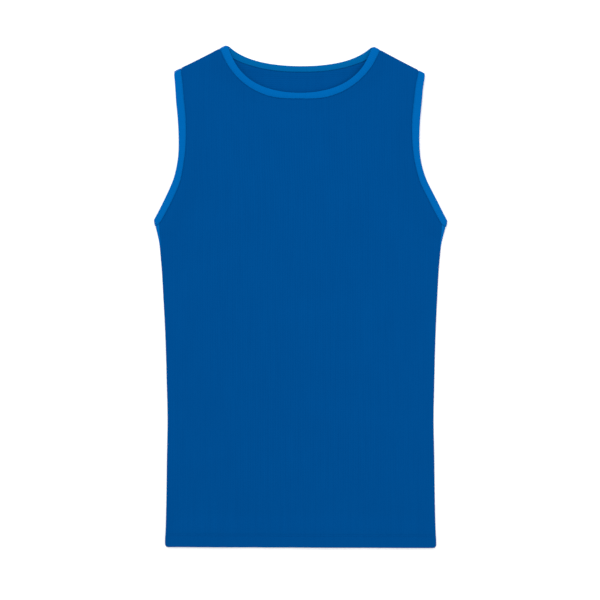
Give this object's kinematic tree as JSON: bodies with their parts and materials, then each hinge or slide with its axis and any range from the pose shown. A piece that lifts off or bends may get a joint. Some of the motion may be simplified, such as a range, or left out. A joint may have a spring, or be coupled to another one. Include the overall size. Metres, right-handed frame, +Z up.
{
  "type": "sleeveless t-shirt laid flat",
  "caption": "Dark-blue sleeveless jersey T-shirt with lighter blue binding at the neck and armholes, laid flat and face up.",
  "frame": {"origin": "middle of the shirt's length and width, on the surface that it lies on", "axes": "+Z up out of the front, +Y along the shirt towards the neck, +X towards the wearer's left side"},
  "size_m": [0.4218, 0.7202, 0.008],
  "materials": {
    "body_jersey": "matte dark-blue jersey knit",
    "binding_jersey": "matte mid-blue jersey knit"
  },
  "bodies": {
    "root": {"front_panel": "body_jersey", "back_panel": "body_jersey", "neck_binding": "binding_jersey", "armhole_binding_left": "binding_jersey", "armhole_binding_right": "binding_jersey", "underarm_gusset_left": "binding_jersey", "underarm_gusset_right": "binding_jersey"}
  },
  "joints": []
}
